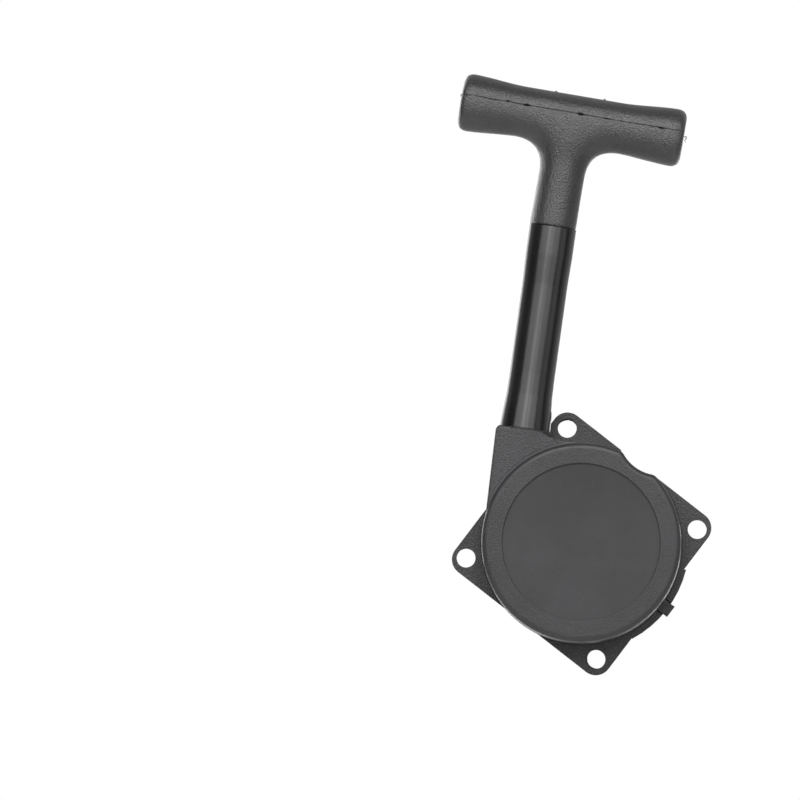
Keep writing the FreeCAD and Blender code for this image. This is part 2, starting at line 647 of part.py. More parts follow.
def make_stopper_knot():
    knot = doc.addObject("Part::Sphere", "handle_knot")
    knot.Label = "handle_knot"
    bind(knot, "Radius", "stopper_radius")
    bind(knot, "Placement.Base.x", "-rope_offset")
    bind(knot, "Placement.Base.y", "-rope_depth")
    bind(knot, "Placement.Base.z", "tube_top + cavity_floor + washer_thick + stopper_radius + stopper_lift")
    return knot


pieces = [
    make_housing(),
    make_guide_tube(),
    make_retainer(),
    make_reel(),
    make_drive_hub(),
    make_ring("hub_bush", STAND, "bush_radius", "bush_bore", "bush_back", "hex_seat - bush_back - hex_gap"),
    make_spring(),
    make_spring_anchor(),
    make_spring_hook(),
    make_wound_rope(),
    make_reel_knot(),
    make_rope_lead(),
    make_handle_body(),
    make_handle_cap(),
    make_ring("handle_washer", washer_place(), "washer_radius", "washer_bore", "0", "washer_thick"),
    make_stopper_knot(),
]
doc.recompute()

for thing in doc.Objects:
    if "Invalid" in thing.State or "Error" in thing.State:
        raise RuntimeError(f"{thing.Name} failed: {thing.State}")
os.makedirs("parts", exist_ok=True)
for piece in pieces:
    if piece.Shape.isNull() or not piece.Shape.isValid():
        raise RuntimeError(f"{piece.Label} has no valid shape")
    piece.Shape.exportStep(f"parts/{piece.Label}.step")
    box = piece.Shape.BoundBox
    spans = f"x {box.XMin:.1f}..{box.XMax:.1f} y {box.YMin:.1f}..{box.YMax:.1f}"
    spans += f" z {box.ZMin:.1f}..{box.ZMax:.1f}"
    print(f"{piece.Label}: {len(piece.Shape.Solids)} solid, {piece.Shape.Volume:.0f} mm3, {spans}")
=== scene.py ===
import math

import bmesh
import bpy
import numpy as np
from mathutils import Matrix, Vector, noise


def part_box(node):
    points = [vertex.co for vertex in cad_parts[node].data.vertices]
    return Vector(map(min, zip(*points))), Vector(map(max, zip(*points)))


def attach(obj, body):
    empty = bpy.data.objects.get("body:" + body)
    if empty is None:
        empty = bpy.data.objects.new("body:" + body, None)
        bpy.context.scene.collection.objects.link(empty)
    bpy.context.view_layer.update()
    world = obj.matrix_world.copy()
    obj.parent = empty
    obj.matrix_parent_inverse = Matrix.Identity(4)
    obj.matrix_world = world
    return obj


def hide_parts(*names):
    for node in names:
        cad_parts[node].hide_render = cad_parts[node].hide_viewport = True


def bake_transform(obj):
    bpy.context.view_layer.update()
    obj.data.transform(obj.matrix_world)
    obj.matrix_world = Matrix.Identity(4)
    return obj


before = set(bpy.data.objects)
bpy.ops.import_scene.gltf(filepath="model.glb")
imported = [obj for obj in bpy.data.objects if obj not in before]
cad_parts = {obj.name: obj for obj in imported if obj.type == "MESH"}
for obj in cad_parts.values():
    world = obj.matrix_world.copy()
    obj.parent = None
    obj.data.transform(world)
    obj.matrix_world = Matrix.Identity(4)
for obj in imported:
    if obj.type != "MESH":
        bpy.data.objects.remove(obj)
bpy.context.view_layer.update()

# A recoil starter in a photo studio. The case, tube, plate, reel and steel parts keep the frame's own
# shapes and get a finish here. The handle, the rope and the mould flash are shaped here. Lengths are in
# metres.

MM = 0.001

# Places and sizes read from the frame.
LEAD_LOW, LEAD_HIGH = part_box("rope_lead")
HOUSING_LOW, HOUSING_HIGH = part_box("housing")
ROPE_X = (LEAD_LOW.x + LEAD_HIGH.x) / 2
ROPE_Y = (LEAD_LOW.y + LEAD_HIGH.y) / 2
ROPE_RADIUS = (LEAD_HIGH.x - LEAD_LOW.x) / 2
TUBE_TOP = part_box("guide_tube")[1].z


# Shader nodes. Most of a noise lies in NOISE_BAND.

NOISE_BAND = (0.3, 0.7)


def new_material(name):
    """A material with its node tree and the shader that the tree starts with."""
    material = bpy.data.materials.new(name)
    material.use_nodes = True
    tree = material.node_tree
    return material, tree, tree.nodes["Principled BSDF"]


def feed(tree, socket, value):
    """Link another node's output into a socket, or set the socket to a constant."""
    if isinstance(value, bpy.types.NodeSocket):
        tree.links.new(value, socket)
    else:
        socket.default_value = value


def add_node(tree, kind, settings=None, **inputs):
    """Add a node. A space in an input's name is written as an underscore."""
    node = tree.nodes.new(kind)
    for key, value in (settings or {}).items():
        setattr(node, key, value)
    for key, value in inputs.items():
        feed(tree, node.inputs[key.replace("_", " ")], value)
    return node


def math_node(tree, operation, first, second):
    node = add_node(tree, "ShaderNodeMath", {"operation": operation})
    feed(tree, node.inputs[0], first)
    feed(tree, node.inputs[1], second)
    return node.outputs[0]


def object_coordinates(tree):
    return tree.nodes.new("ShaderNodeTexCoord").outputs["Object"]


def stretched(tree, coordinates, scale):
    return add_node(tree, "ShaderNodeMapping", Vector=coordinates, Scale=scale).outputs["Vector"]


def scaled(tree, vector, amount):
    node = add_node(tree, "ShaderNodeVectorMath", {"operation": "SCALE"}, Vector=vector, Scale=amount)
    return node.outputs["Vector"]


def noise_value(tree, coordinates, scale, detail, roughness):
    """Noise whose scale is in cells per metre, or 1 where the coordinates are stretched already."""
    node = add_node(tree, "ShaderNodeTexNoise", Vector=coordinates, Scale=scale, Detail=detail,
                    Roughness=roughness)
    return node.outputs["Fac"]


def remap(tree, value, low, high, new_low, new_high):
    node = add_node(tree, "ShaderNodeMapRange", {"clamp": True}, Value=value, From_Min=low, From_Max=high,
                    To_Min=new_low, To_Max=new_high)
    return node.outputs["Result"]


def spread_noise(tree, value, new_low, new_high):
    return remap(tree, value, *NOISE_BAND, new_low, new_high)


def mix_colour(tree, factor, first, second):
    """Mix two colours, each a node's output or three channels."""
    node = add_node(tree, "ShaderNodeMix", {"data_type": "RGBA"}, Factor=factor)
    for key, value in (("A", first), ("B", second)):
        socket = next(s for s in node.inputs if s.name == key and s.type == "RGBA")
        feed(tree, socket, (*value, 1.0) if isinstance(value, tuple) else value)
    return next(s for s in node.outputs if s.type == "RGBA")


def toned(colour, factor, lift=0.0):
    return tuple(channel * factor + lift for channel in colour)


def add_bump(tree, shader, height, depth, **inputs):
    bump = add_node(tree, "ShaderNodeBump", Height=height, Strength=1.0, Distance=depth, **inputs)
    tree.links.new(bump.outputs["Normal"], shader.inputs["Normal"])


# Moulded plastic. A row of four numbers says between which two values the finish changes, and from what to
# what. A tone's two numbers scale and lift the plastic's own colour.

CLOUD_SCALE = 55.0
SPECK_SCALE = 1400.0
FLOW_STRETCH = (260.0, 260.0, 22.0)
FLOW_ROUGHNESS = 0.05
GRAIN_ROUGHNESS = 0.03
DUST_COVER = (0.62, 0.78, 0.0, 0.45)
DUST_TONE = (1.5, 0.004)
WEAR_BAND = (0.35, 0.65)
WEAR_LEAST = 0.25
WEAR_TONE = (2.1, 0.012)
EDGE_WIDTH = 0.35 * MM
EDGE_SAMPLES = 6
EDGE_STRENGTH = (0.995, 0.86, 0.0, 1.0)
DISC_RADIUS = 25.7 * MM
DRUM_RADIUS = 32.35 * MM
WALL_RADIUS = 33.05 * MM
DISC_EDGE = (DISC_RADIUS - 0.1 * MM, DISC_RADIUS + 0.1 * MM)
# Painted shade: the disc's colour is scaled down towards its top.
DISC_PAINTED_SHADE = (-6 * MM, 24 * MM, 1.2, 0.6)
# Painted highlight: the drum ring and the grained faces beyond it are painted lighter.
DRUM_PAINTED_HIGHLIGHT = (DRUM_RADIUS - 0.3 * MM, DRUM_RADIUS + 0.2 * MM, 1.18, 1.4)
DRUM_GRAIN = (*DISC_EDGE, 0.03, 0.35)
RIM_POLISH = (DRUM_RADIUS - 2.0 * MM, DRUM_RADIUS - 0.6 * MM, 0.0, 0.3)
WALL_GRAIN = (WALL_RADIUS, WALL_RADIUS + 0.1 * MM, 0.0, 1.0)


def edge_mask(tree):
    """1 near a sharp edge and 0 on open faces, with the rounded normal that softens the edge."""
    bevel = add_node(tree, "ShaderNodeBevel", {"samples": EDGE_SAMPLES}, Radius=EDGE_WIDTH)
    true_normal = tree.nodes.new("ShaderNodeNewGeometry").outputs["Normal"]
    dot = add_node(tree, "ShaderNodeVectorMath", {"operation": "DOT_PRODUCT"})
    feed(tree, dot.inputs[0], bevel.outputs["Normal"])
    feed(tree, dot.inputs[1], true_normal)
    return remap(tree, dot.outputs["Value"], *EDGE_STRENGTH), bevel.outputs["Normal"]


def plastic_colour(tree, place, colour, tone, worn, edges):
    """Cloudy flow marks, light dust in the grain and paler worn edges."""
    clouds = noise_value(tree, place, CLOUD_SCALE, 3.0, 0.55)
    specks = noise_value(tree, place, SPECK_SCALE, 1.0, 0.5)
    cloudy = spread_noise(tree, clouds, 0.0, 1.0)
    base = mix_colour(tree, cloudy, toned(colour, 1 - tone), toned(colour, 1 + tone))
    dust = remap(tree, specks, *DUST_COVER)
    base = mix_colour(tree, dust, base, toned(colour, *DUST_TONE))
    patches = remap(tree, clouds, *WEAR_BAND, WEAR_LEAST * worn, worn)
    wear = math_node(tree, "MULTIPLY", edges, patches)
    return mix_colour(tree, wear, base, toned(colour, *WEAR_TONE))


def plastic_roughness(tree, place, rough, grains):
    flow = noise_value(tree, stretched(tree, place, FLOW_STRETCH), 1.0, 3.0, 0.6)
    smeared = spread_noise(tree, flow, rough - FLOW_ROUGHNESS, rough + FLOW_ROUGHNESS)
    return math_node(tree, "ADD", smeared, spread_noise(tree, grains, -GRAIN_ROUGHNESS, GRAIN_ROUGHNESS))


def moulded_plastic(name, colour, rough, grain, grain_depth, worn=0.5, tone=0.16, specular=0.5,
                    grain_mask=None, painted_light=None):
    """Moulded nylon. grain_mask weakens the grain, and the last argument scales the colour from place to
    place as painted highlight and painted shade.
    """
    material, tree, shader = new_material(name)
    place = object_coordinates(tree)
    edges, soft_normal = edge_mask(tree)
    grains = noise_value(tree, place, grain, 2.0, 0.6)
    base = plastic_colour(tree, place, colour, tone, worn, edges)
    # Painted light: the colour is scaled up for painted highlight and down for painted shade.
    if painted_light:
        base = scaled(tree, base, painted_light(tree, place))
    feed(tree, shader.inputs["Base Color"], base)
    feed(tree, shader.inputs["Roughness"], plastic_roughness(tree, place, rough, grains))
    feed(tree, shader.inputs["Specular IOR Level"], specular)
    height = math_node(tree, "MULTIPLY", grains, grain_mask(tree, place)) if grain_mask else grains
    add_bump(tree, shader, height, grain_depth, Normal=soft_normal)
    return material


def reach_from_axis(tree, place):
    """Distance from the reel's axis."""
    node = add_node(tree, "ShaderNodeVectorMath", {"operation": "LENGTH"},
                    Vector=stretched(tree, place, (1.0, 0.0, 1.0)))
    return node.outputs["Value"]


def front_face_painted_light(tree, place):
    """Painted light: the drum ring and the grained faces are painted lighter as a painted highlight, and
    the polished disc is painted darker towards its top as painted shade.
    """
    reach = reach_from_axis(tree, place)
    up = add_node(tree, "ShaderNodeSeparateXYZ", Vector=place).outputs["Z"]
    beyond_disc = remap(tree, reach, *DISC_EDGE, 0.0, 1.0)
    # Painted highlight on the drum ring and the grained faces.
    drum = math_node(tree, "MULTIPLY", beyond_disc, remap(tree, reach, *DRUM_PAINTED_HIGHLIGHT))
    return math_node(tree, "MAXIMUM", remap(tree, up, *DISC_PAINTED_SHADE), drum)


def front_face_mask(tree, place):
    """The mould is polished for the front disc, satin for the drum round it and spark-eroded elsewhere."""
    reach = reach_from_axis(tree, place)
    drum = math_node(tree, "SUBTRACT", remap(tree, reach, *DRUM_GRAIN), remap(tree, reach, *RIM_POLISH))
    return math_node(tree, "MAXIMUM", drum, remap(tree, reach, *WALL_GRAIN))


def case_plastic():
    # The case's colour carries painted light: a painted highlight on the drum ring and grained faces, and
    # painted shade on the disc's top.
    return moulded_plastic("case_plastic", colour=(0.027, 0.026, 0.028), rough=0.42, grain=1600.0,
                           grain_depth=0.30 * MM, grain_mask=front_face_mask, painted_light=front_face_painted_light)


def plate_plastic():
    return moulded_plastic("plate_plastic", colour=(0.030, 0.029, 0.033), rough=0.42, grain=3000.0,
                           grain_depth=0.016 * MM, tone=0.12)


def tube_plastic():
    return moulded_plastic("tube_plastic", colour=(0.0125, 0.012, 0.0125), rough=0.2, grain=1900.0,
                           grain_depth=0.022 * MM, worn=0.4, tone=0.2, specular=0.8)


def handle_plastic():
    return moulded_plastic("handle_plastic", colour=(0.025, 0.024, 0.025), rough=0.38, grain=1800.0,
                           grain_depth=0.28 * MM, worn=0.3, specular=0.9)


def reel_plastic():
    return moulded_plastic("reel_plastic", colour=(0.032, 0.031, 0.034), rough=0.36, grain=2600.0,
                           grain_depth=0.010 * MM, tone=0.1)


def hub_plastic():
    return moulded_plastic("hub_plastic", colour=(0.028, 0.027, 0.030), rough=0.40, grain=2800.0,
                           grain_depth=0.012 * MM, tone=0.12)


def bush_plastic():
    return moulded_plastic("bush_plastic", colour=(0.034, 0.033, 0.036), rough=0.38, grain=2800.0,
                           grain_depth=0.010 * MM, tone=0.12)


# Steel.

ROLLED_STRETCH = (300.0, 4000.0, 300.0)
SPOT_SCALE = 420.0
SPOT_COVER = (0.55, 0.75, 0.0, 0.7)
SPOT_TONE = 0.45
SMOOTHEST = -0.06
ROUGHEST = 0.12
STREAK_DEPTH = 0.004 * MM


def steel(name, dark, pale, rough):
    """Rolled steel strip: long streaks, an uneven temper film and small dark oil spots."""
    material, tree, shader = new_material(name)
    place = object_coordinates(tree)
    streaks = noise_value(tree, stretched(tree, place, ROLLED_STRETCH), 1.0, 3.0, 0.6)
    spots = noise_value(tree, place, SPOT_SCALE, 3.0, 0.6)
    base = mix_colour(tree, spread_noise(tree, streaks, 0.0, 1.0), dark, pale)
    base = mix_colour(tree, remap(tree, spots, *SPOT_COVER), base, toned(dark, SPOT_TONE))
    feed(tree, shader.inputs["Base Color"], base)
    feed(tree, shader.inputs["Metallic"], 1.0)
    feed(tree, shader.inputs["Roughness"], spread_noise(tree, spots, rough + SMOOTHEST, rough + ROUGHEST))
    add_bump(tree, shader, streaks, STREAK_DEPTH)
    return material


def spring_steel():
    return steel("spring_steel", dark=(0.16, 0.095, 0.05), pale=(0.36, 0.24, 0.15), rough=0.35)


def anchor_steel():
    return steel("anchor_steel", dark=(0.45, 0.45, 0.45), pale=(0.62, 0.62, 0.62), rough=0.3)


def hook_steel():
    return steel("hook_steel", dark=(0.62, 0.56, 0.46), pale=(0.85, 0.82, 0.75), rough=0.22)


def washer_steel():
    return steel("washer_steel", dark=(0.4, 0.4, 0.4), pale=(0.6, 0.6, 0.6), rough=0.35)


# Rope yarn.

FILAMENT_STRETCH = (9000.0, 9000.0, 1500.0)
FILAMENT_ROUGHNESS = (0.5, 0.75)
FILAMENT_DEPTH = 0.03 * MM
GRIME_SCALE = 900.0
GRIME_COVER = (0.5, 0.75, 0.0, 0.8)
GRIME_TONE = 0.35
SHEEN = 0.25
SHEEN_ROUGHNESS = 0.4


def rope_yarn(name, dark, pale):
    """Nylon yarn: fine filaments along the strand, a soft sheen and a little grime."""
    material, tree, shader = new_material(name)
    place = object_coordinates(tree)
    filaments = noise_value(tree, stretched(tree, place, FILAMENT_STRETCH), 1.0, 2.0, 0.6)
    grime = noise_value(tree, place, GRIME_SCALE, 3.0, 0.6)
    base = mix_colour(tree, spread_noise(tree, filaments, 0.0, 1.0), dark, pale)
    base = mix_colour(tree, remap(tree, grime, *GRIME_COVER), base, toned(dark, GRIME_TONE))
    feed(tree, shader.inputs["Base Color"], base)
    feed(tree, shader.inputs["Roughness"], spread_noise(tree, filaments, *FILAMENT_ROUGHNESS))
    feed(tree, shader.inputs["Sheen Weight"], SHEEN)
    feed(tree, shader.inputs["Sheen Roughness"], SHEEN_ROUGHNESS)
    add_bump(tree, shader, filaments, FILAMENT_DEPTH)
    return material


def dark_yarn():
    return rope_yarn("rope_dark", dark=(0.03, 0.03, 0.03), pale=(0.09, 0.09, 0.085))


def pale_yarn():
    return rope_yarn("rope_pale", dark=(0.32, 0.31, 0.28), pale=(0.62, 0.6, 0.55))


# Pieces.

def paint(node, material):
    """Give one of the frame's nodes a finish."""
    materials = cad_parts[node].data.materials
    materials.clear()
    materials.append(material)


def add_object(name, data):
    thing = bpy.data.objects.new(name, data)
    bpy.context.scene.collection.objects.link(thing)
    return thing


def baked(mesh, name):
    """Turn an edit mesh into mesh data."""
    data = bpy.data.meshes.new(name)
    mesh.to_mesh(data)
    mesh.free()
    return data


def finish_piece(name, data, materials, body):
    """Add a smooth-shaded piece. Without a body it isn't attached to any."""
    thing = add_object(name, data)
    for material in materials:
        data.materials.append(material)
    for face in data.polygons:
        face.use_smooth = True
    if body:
        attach(thing, body)
    return thing


def sides_along(path):
    """At each point of a path, two directions square to it that don't twist along the way."""
    last = len(path) - 1
    side = (path[1] - path[0]).orthogonal().normalized()
    pairs = []
    for index in range(last + 1):
        ahead = (path[min(index + 1, last)] - path[max(index - 1, 0)]).normalized()
        side = (side - ahead * side.dot(ahead)).normalized()
        pairs.append((side, ahead.cross(side)))
    return pairs


def add_tube(mesh, path, radii, sides):
    """A closed round tube along a path."""
    turns = [2 * math.pi * k / sides for k in range(sides)]
    rings = []
    for point, radius, (side, other) in zip(path, radii, sides_along(path)):
        rings.append([mesh.verts.new(point + radius * (side * math.cos(turn) + other * math.sin(turn)))
                      for turn in turns])
    for first, second in zip(rings, rings[1:]):
        for k in range(sides):
            after = (k + 1) % sides
            mesh.faces.new((first[k], first[after], second[after], second[k]))
    mesh.faces.new(list(reversed(rings[0])))
    mesh.faces.new(rings[-1])


# The handle has its own axes: x along the grip, z up the stem, the origin in the middle of its foot.
# It sits a little cocked on the tube, so FOOT carries it into the frame.

HANDLE_LIFT = 0.3 * MM
HANDLE_TILT = math.radians(1.9)
FOOT_PLACE = (ROPE_X, ROPE_Y, TUBE_TOP + HANDLE_LIFT)
FOOT = Matrix.Translation(FOOT_PLACE) @ Matrix.Rotation(HANDLE_TILT, 4, "Y")
FOOT_GAP = 0.07 * MM
FOOT_CHAMFER = 0.32 * MM
CHAMFER_HEIGHT = 0.3 * MM
CHAMFER_UNEVEN = 0.3
GRIP_HEIGHT = 35.55 * MM
GRIP_MIDDLE = 0.35 * MM
GRIP_HALF = 36.9 * MM
GRIP_WAIST = 8.3 * MM
GRIP_END_RADIUS = 9.45 * MM
GRIP_LEFT = GRIP_MIDDLE - GRIP_HALF
GRIP_RIGHT = GRIP_MIDDLE + GRIP_HALF
END_ROUND = 3.4 * MM
WAIST_HALF = 15.5 * MM
SWELL_LENGTH = 19.0 * MM
STEM_RADIUS = 7.5 * MM
STEM_FLARE = 0.15 * MM
FLARE_HEIGHT = 9 * MM
STEM_DOME = 7.0 * MM
STEM_DOME_DROP = 1.5 * MM
BLEND = 10.0 * MM
FAN_PROUD = 0.1 * MM
FAN_EDGE = 2.0 * MM
HANDLE_VOXEL = 0.5 * MM
ROUGH_SIDES = 48
ROUGH_FOOT = -0.4 * MM
PULLS = 14
PULL_SHARE = 0.8
SLOPE_STEP = 0.02 * MM
LEAST_SLOPE = 0.05


def smooth_least(first, second, width):
    """Blend two distance fields so that their surfaces join in a fillet about as wide as width."""
    share = np.clip(0.5 + 0.5 * (second - first) / width, 0, 1)
    return second * (1 - share) + first * share - width * share * (1 - share)


def grip_radius(along):
    """The grip's radius at a distance from its middle: a waist that swells towards both ends."""
    swell = np.clip((np.abs(along) - WAIST_HALF) / SWELL_LENGTH, 0, 1)
    return GRIP_WAIST + (GRIP_END_RADIUS - GRIP_WAIST) * swell * swell * (3 - 2 * swell)


def grip_distance(along, across, height):
    side = np.hypot(across, height - GRIP_HEIGHT) - grip_radius(along)
    return -smooth_least(-side, GRIP_HALF - np.abs(along - GRIP_MIDDLE), END_ROUND)


def foot_chamfer(along, across, height):
    """The foot's edge is rounded off unevenly."""
    turn = np.arctan2(across, along)
    waves = np.sin(5 * turn + 0.8) * np.sin(11 * turn)
    ragged = 1 - CHAMFER_UNEVEN + CHAMFER_UNEVEN * waves
    return FOOT_CHAMFER * ragged * np.exp(-np.maximum(height, 0) / CHAMFER_HEIGHT)


def stem_distance(along, across, height):
    flare = STEM_FLARE * (1 - np.clip(height / FLARE_HEIGHT, 0, 1))
    radius = STEM_RADIUS + flare - foot_chamfer(along, across, height)
    side = np.hypot(along, across) - radius
    top = height - (GRIP_HEIGHT - STEM_DOME_DROP)
    return -smooth_least(-side, -top, STEM_DOME)


def handle_distance(points):
    """Distance to the handle's surface, negative inside. The fan where stem and grip join is cut flat."""
    along, across, height = points.T
    grip = grip_distance(along, across, height)
    stem = stem_distance(along, across, height)
    fan = np.abs(across) - grip_radius(along) - FAN_PROUD
    joined = -smooth_least(-smooth_least(grip, stem, BLEND), -fan, FAN_EDGE)
    rise = height * math.cos(HANDLE_TILT) - along * math.sin(HANDLE_TILT)
    above_tube = rise + HANDLE_LIFT - FOOT_GAP
    return np.maximum(joined, -above_tube)


def pull_to_surface(points):
    """One Newton step towards the handle's surface."""
    slope = np.zeros_like(points)
    for axis in range(3):
        shift = np.zeros(3)
        shift[axis] = SLOPE_STEP
        change = handle_distance(points + shift) - handle_distance(points - shift)
        slope[:, axis] = change / (2 * SLOPE_STEP)
    length = np.maximum((slope * slope).sum(1), LEAST_SLOPE)
    return points - PULL_SHARE * (handle_distance(points) / length)[:, None] * slope


def rough_handle():
    """A coarse voxel skin round two crossed rods."""
    rough = bmesh.new()
    reach = Vector((GRIP_HALF, 0, 0))
    middle = Vector((0, 0, GRIP_HEIGHT))
    add_tube(rough, [middle - reach, middle + reach], [GRIP_END_RADIUS] * 2, ROUGH_SIDES)
    add_tube(rough, [Vector((0, 0, ROUGH_FOOT)), middle], [STEM_RADIUS] * 2, ROUGH_SIDES)
    thing = add_object("handle_rough", baked(rough, "handle_rough"))
    remesh = thing.modifiers.new("voxels", "REMESH")
    remesh.mode = "VOXEL"
    remesh.voxel_size = HANDLE_VOXEL
    depsgraph = bpy.context.evaluated_depsgraph_get()
    skin = bpy.data.meshes.new_from_object(thing.evaluated_get(depsgraph))
    bpy.data.objects.remove(thing)
    return skin


def handle_surface():
    """The rough skin pulled onto the exact shape."""
    skin = rough_handle()
    points = np.zeros(len(skin.vertices) * 3)
    skin.vertices.foreach_get("co", points)
    points = points.reshape(-1, 3)
    for _ in range(PULLS):
        points = pull_to_surface(points)
    skin.vertices.foreach_set("co", points.ravel())
    skin.update()
    return skin


# The seam along the grip, between the handle's body and its cap. A wave has its size, its waves per metre
# and a seed. SEAM_TEARS has each tear's place and depth.

GRIP_SEAM = GRIP_HEIGHT + 1.8 * MM
SEAM_HAIRLINE = 0.02 * MM
SEAM_UNEVEN = (0.04 * MM, 260, 0.3)
SEAM_LEAST = 0.008 * MM
SEAM_END = 3.5 * MM
SEAM_FADE = 3 * MM
SEAM_WANDER = ((0.22 * MM, 170, 7.0), (0.1 * MM, 700, 2.0))
TEAR_LENGTH = 0.75 * MM
SEAM_TEARS = (
    (-21.5 * MM, 0.12 * MM),
    (-15.0 * MM, 0.34 * MM),
    (3.0 * MM, 0.40 * MM),
    (11.2 * MM, 0.14 * MM),
    (29.5 * MM, 0.20 * MM),
)
LIP_DEPTH = 0.8 * MM
LIP_TURN = 4 * MM
CUT_TOLERANCE = 1e-7


def wave(along, size, scale, seed):
    return size * noise.noise(Vector((along * scale, seed, 0.0)))


def seam_gap(along):
    """Half the seam's opening: a hairline with a few torn spots, closed near the grip's ends."""
    gap = SEAM_HAIRLINE + max(0.0, wave(along, *SEAM_UNEVEN))
    for place, depth in SEAM_TEARS:
        gap += depth * math.exp(-((along - place) / TEAR_LENGTH) ** 2)
    room = GRIP_HALF - SEAM_END - abs(along - GRIP_MIDDLE)
    return gap * min(1.0, max(0.0, room / SEAM_FADE)) + SEAM_LEAST


def seam_wander(along):
    """How far the seam strays up or down, in slow and quick waves."""
    return sum(wave(along, *row) for row in SEAM_WANDER)


def inwards(place):
    """The way from the seam to the inside: straight across the grip, but towards the middle at its ends."""
    inward = Vector((-place.x, -place.y, 0))
    if abs(inward.x) < GRIP_HALF - LIP_TURN:
        inward.x = 0
    return inward.normalized()


def handle_half(name, skin, above, material, node):
    """One side of the seam, closed by a narrow inner lip so that the seam shows as a fine dark groove."""
    mesh = bmesh.new()
    mesh.from_mesh(skin)
    everything = mesh.verts[:] + mesh.edges[:] + mesh.faces[:]
    cut = bmesh.ops.bisect_plane(mesh, geom=everything, plane_co=(0, 0, GRIP_SEAM), plane_no=(0, 0, 1),
                                 clear_inner=above, clear_outer=not above, dist=CUT_TOLERANCE)
    rim = [item for item in cut["geom_cut"] if isinstance(item, bmesh.types.BMEdge)]
    side = 1 if above else -1
    for vertex in {v for edge in rim for v in edge.verts}:
        vertex.co.z += seam_wander(vertex.co.x) + side * seam_gap(vertex.co.x)
    lip = bmesh.ops.extrude_edge_only(mesh, edges=rim)["geom"]
    lip_points = {item for item in lip if isinstance(item, bmesh.types.BMVert)}
    for vertex in lip_points:
        vertex.co += inwards(vertex.co) * LIP_DEPTH
    lip_edges = [item for item in lip if isinstance(item, bmesh.types.BMEdge)
                 and all(v in lip_points for v in item.verts)]
    bmesh.ops.triangle_fill(mesh, edges=lip_edges, use_beauty=True)
    bmesh.ops.recalc_face_normals(mesh, faces=mesh.faces[:])
    thing = finish_handle_piece(name, mesh, material)
    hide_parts(node)


def finish_handle_piece(name, mesh, material):
    """Carry a piece drawn in the handle's own axes into the frame and let it ride."""
    data = baked(mesh, name)
    data.transform(FOOT)
    return finish_piece(name, data, [material], "handle")


# Threads of flash on the handle, each a route in millimetres from the place where it grows.

WHISKER_SIDES = 6
WHISKER_TIP = 0.35
NUBS = ((-6.4 * MM, 0.2), (9.7 * MM, 0.3))
NUB_RADIUS = 0.18 * MM
LEFT_THREAD = ((0.2, -0.4, -0.5), (-0.35, -0.2, -0.1), (-0.4, 0, 0.3), (0.2, 0.1, 0.7))
LEFT_THREAD_RADIUS = 0.24 * MM
RIGHT_THREAD = ((-0.3, -1.2, -0.9), (0.3, -1.5, -1.2), (0.7, -1.7, -0.8), (0.9, -1.8, -1.6),
                (0.5, -1.9, -2.2), (0.9, -2.0, -2.9))
RIGHT_THREAD_RADIUS = 0.17 * MM


def add_whisker(mesh, root, route, radius):
    """A thread of flash left by the mould, thinner at both ends."""
    points = [root + Vector(offset) * MM for offset in route]
    last = len(points) - 1
    radii = [radius * (WHISKER_TIP + (1 - WHISKER_TIP) * math.sin(math.pi * k / last))
             for k in range(last + 1)]
    add_tube(mesh, points, radii, WHISKER_SIDES)


def build_flash(material):
    """Nubs on the grip's top edge, a nub at the seam's left end and a torn thread at its right end."""
    mesh = bmesh.new()
    for along, height in NUBS:
        route = ((-0.6, 0, -0.1), (-0.2, 0.1, 0.6 * height), (0.1, 0, height), (0.5, 0, -0.1))
        add_whisker(mesh, Vector((along, 0, GRIP_HEIGHT + GRIP_WAIST)), route, NUB_RADIUS)
    add_whisker(mesh, Vector((GRIP_LEFT, 0, GRIP_SEAM)), LEFT_THREAD, LEFT_THREAD_RADIUS)
    add_whisker(mesh, Vector((GRIP_RIGHT, 0, GRIP_SEAM)), RIGHT_THREAD, RIGHT_THREAD_RADIUS)
    finish_handle_piece("handle_flash", mesh, material)


def build_handle(material):
    skin = handle_surface()
    handle_half("handle_grip_and_stem", skin, False, material, "handle_body")
    handle_half("handle_top", skin, True, material, "handle_cap")
    bpy.data.meshes.remove(skin)
    build_flash(material)


# Mould flash left in two of the bolt holes. Each crescent has the hole's direction, the side of the hole
# that it clings to and its spread, in degrees, and then its width.

BOLT_CIRCLE = 38.185 * MM
BOLT_HOLE = 3.1 * MM
FLASH_DEPTHS = (-4.4 * MM, -4.1 * MM)
FLASH_ROOT = 0.05 * MM
FLASH_LEAST = 0.02 * MM
CRESCENT_STEPS = 26
CRESCENT_UNEVEN = 0.35
CRESCENT_TEARS = 13
CRESCENTS = ((105, 100, 150, 0.75 * MM), (285, 215, 170, 0.45 * MM))


def add_crescent(mesh, turn, towards, spread, width):
    """A thin torn crescent clinging to one side of a bolt hole."""
    middle = Vector((BOLT_CIRCLE * math.cos(turn), 0, BOLT_CIRCLE * math.sin(turn)))
    rows = []
    for k in range(CRESCENT_STEPS + 1):
        share = k / CRESCENT_STEPS
        angle = towards + spread * (share - 0.5)
        torn = 1 - CRESCENT_UNEVEN + wave(share, CRESCENT_UNEVEN, CRESCENT_TEARS, turn)
        tip = width * math.sin(math.pi * share) * torn + FLASH_LEAST
        way = Vector((math.cos(angle), 0, math.sin(angle)))
        radii = (BOLT_HOLE + FLASH_ROOT, BOLT_HOLE - tip)
        rows.append([mesh.verts.new(middle + way * radius + Vector((0, depth, 0)))
                     for depth in FLASH_DEPTHS for radius in radii])
    for first, second in zip(rows, rows[1:]):
        for a, b in ((0, 1), (1, 3), (3, 2), (2, 0)):
            mesh.faces.new((first[a], first[b], second[b], second[a]))
    mesh.faces.new([rows[0][k] for k in (0, 2, 3, 1)])
    mesh.faces.new([rows[-1][k] for k in (0, 1, 3, 2)])


